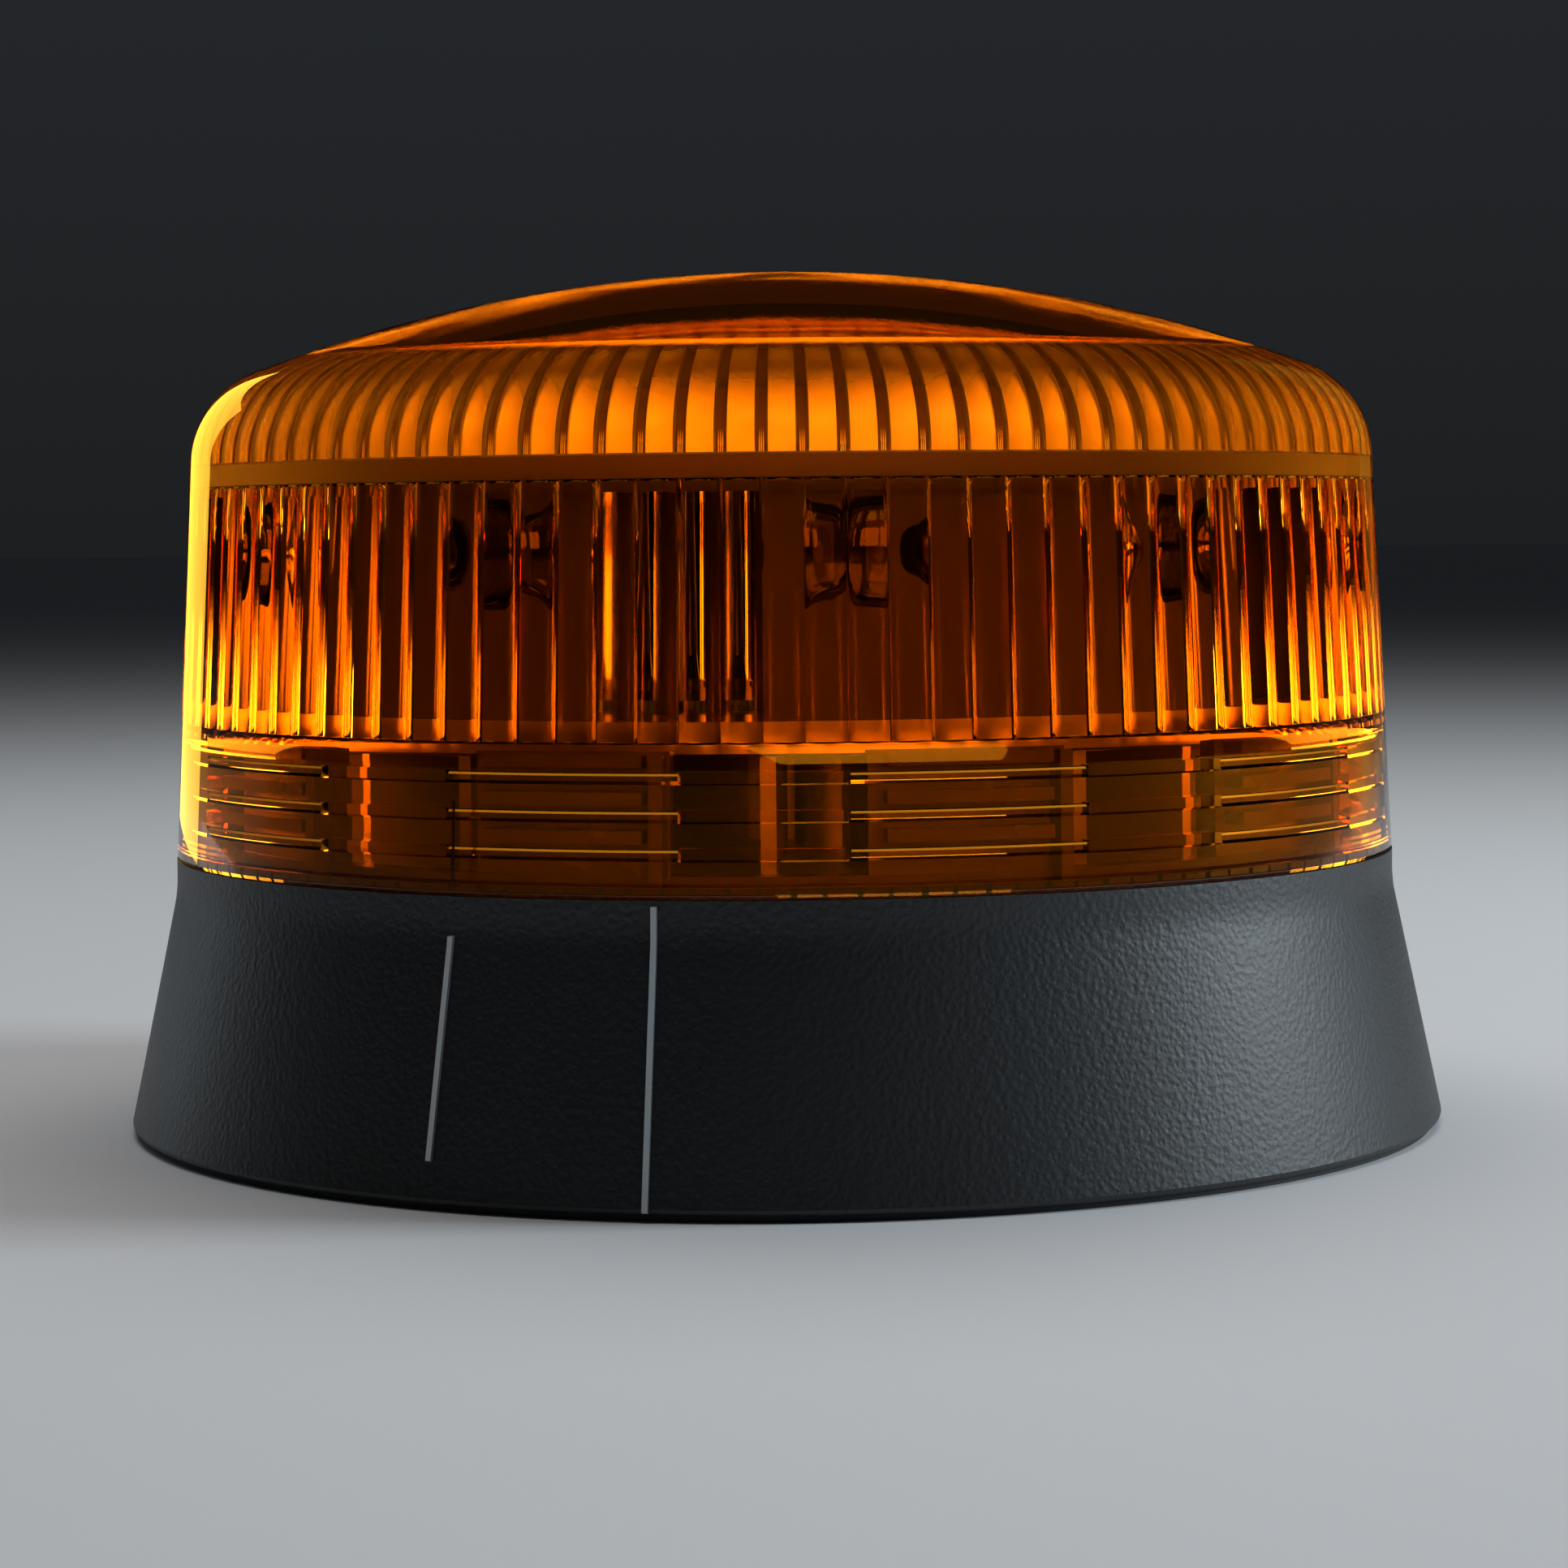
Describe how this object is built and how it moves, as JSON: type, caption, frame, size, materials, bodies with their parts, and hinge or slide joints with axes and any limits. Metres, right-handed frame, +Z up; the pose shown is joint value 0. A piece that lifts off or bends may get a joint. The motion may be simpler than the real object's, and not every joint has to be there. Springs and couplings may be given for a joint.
{
  "type": "warning light beacon",
  "caption": "Low round amber warning beacon: flared black flat-mount base, fluted clear amber dome lens that turns and lifts off, lights on a central tower inside.",
  "frame": {"origin": "centre of the mounting face, on the surface the light stands on", "axes": "+Z up along the light's axis; -Y is the front, the side with the two raised lines"},
  "size_m": [0.15, 0.15, 0.0966],
  "materials": {
    "housing_black": "fine moulded grain, satin",
    "gasket_rubber": "matt",
    "insert_brass": "turned",
    "cover_black": "moulded, satin",
    "seal_rubber": "matt",
    "screw_steel": "zinc plated",
    "grommet_rubber": "matt",
    "vent_grey": "moulded",
    "board_green": "solder mask",
    "can_blue": "sleeved cans",
    "ferrite_grey": "pressed ferrite",
    "chip_black": "moulded",
    "terminal_green": "moulded",
    "switch_metal": "pressed",
    "button_red": "moulded",
    "sink_aluminium": "die cast",
    "wire_red": "insulation",
    "collar_black": "moulded, semi-gloss",
    "plate_aluminium": "brushed",
    "pod_black": "glossy black",
    "cup_chrome": "vacuum metallised",
    "board_white": "white solder mask",
    "emitter_yellow": "phosphor and clear cap",
    "optic_clear": "clear",
    "post_aluminium": "turned",
    "plate_black": "glossy black",
    "lens_amber": "clear amber, polished"
  },
  "bodies": {
    "base": {"base_housing": "housing_black", "base_gasket": "gasket_rubber", "threaded_inserts": "insert_brass", "bottom_cover": "cover_black", "cover_seal": "seal_rubber", "cover_screws": "screw_steel", "cable_grommet": "grommet_rubber", "breather_vent": "vent_grey", "driver_board": "board_green", "board_screws": "screw_steel", "capacitors": "can_blue", "power_inductor": "ferrite_grey", "control_chip": "chip_black", "power_transistors": "chip_black", "terminal_block": "terminal_green", "tact_switch": "switch_metal", "button_boot": "grommet_rubber", "heat_sink": "sink_aluminium", "heat_sink_screws": "screw_steel", "deck_grommet": "grommet_rubber", "wire_link": "wire_red", "bayonet_collar": "collar_black", "collar_screws": "screw_steel", "tower_plate": "plate_aluminium", "wiring_board": "board_green", "light_leads": "wire_red", "led_pods": "pod_black", "reflector_cups": "cup_chrome", "led_boards": "board_white", "led_emitters": "emitter_yellow", "optic_lenses": "optic_clear", "centre_post": "post_aluminium", "top_plate": "plate_black", "pod_screws": "screw_steel"},
    "lens_lifter": {"lens_seal": "seal_rubber"},
    "lens": {"dome_lens": "lens_amber"},
    "button": {"mode_button": "button_red"}
  },
  "joints": [
    {"name": "lens_lift", "type": "slide", "parent": "base", "child": "lens_lifter", "axis": [0, 0, 1], "range_m": [0, 0.07]},
    {"name": "lens_turn", "type": "hinge", "parent": "lens_lifter", "child": "lens", "pos_m": [0, 0, 0.031], "axis": [0, 0, 1], "range_deg": [0, 18]},
    {"name": "button_press", "type": "slide", "parent": "base", "child": "button", "axis": [0, 0, 1], "range_m": [0, 0.0012], "stiffness_N_per_m": 600}
  ]
}
